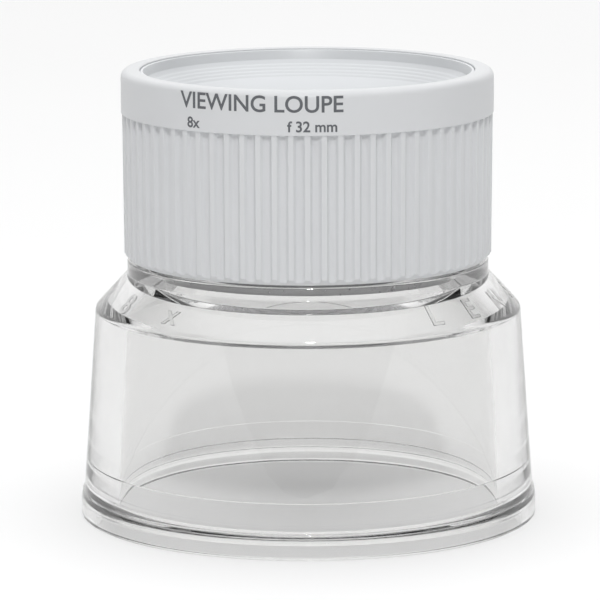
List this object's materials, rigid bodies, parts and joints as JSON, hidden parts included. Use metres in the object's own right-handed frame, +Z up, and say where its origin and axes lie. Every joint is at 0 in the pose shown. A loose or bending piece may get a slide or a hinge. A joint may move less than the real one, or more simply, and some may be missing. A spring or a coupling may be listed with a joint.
{
  "type": "viewing loupe",
  "caption": "Focusing stand loupe for film and prints: clear flared base, white ribbed screw head with a dished eyecup, and a keyed lens barrel that rises and sinks as the head is turned.",
  "frame": {"origin": "centre of the base's foot, on the surface that the loupe stands on", "axes": "+Z up along the optical axis, towards the eye; +X and +Y across the base, with the barrel keys along X"},
  "size_m": [0.046, 0.046, 0.045],
  "materials": {
    "clear_acrylic": "polished moulded acrylic",
    "white_plastic": "satin moulded",
    "black_plastic": "matt",
    "turned_aluminium": "turned, satin",
    "lens_glass": "polished, coated",
    "o_ring_rubber": "greased",
    "spring_steel": "bright"
  },
  "bodies": {
    "base": {"clear_base": "clear_acrylic", "travel_stop": "black_plastic"},
    "lens_carrier": {"lens_barrel": "white_plastic", "eye_lens": "lens_glass", "lens_spacer": "black_plastic", "field_lens": "lens_glass", "lens_retainer": "turned_aluminium", "damping_ring": "o_ring_rubber", "carrier_clip": "spring_steel"},
    "focus_head": {"focus_ring": "white_plastic", "eyecup": "white_plastic"}
  },
  "joints": [
    {"name": "focus_lift", "type": "slide", "parent": "base", "child": "lens_carrier", "axis": [0, 0, 1], "range_m": [0, 0.005]},
    {"name": "focus_turn", "type": "hinge", "parent": "lens_carrier", "child": "focus_head", "pos_m": [0, 0, 0.038], "axis": [0, 0, 1], "range_deg": [0, 300]}
  ],
  "couplings": [
    {"joint": "focus_turn", "follows": "focus_lift", "rad_per_m": 1047.2}
  ]
}
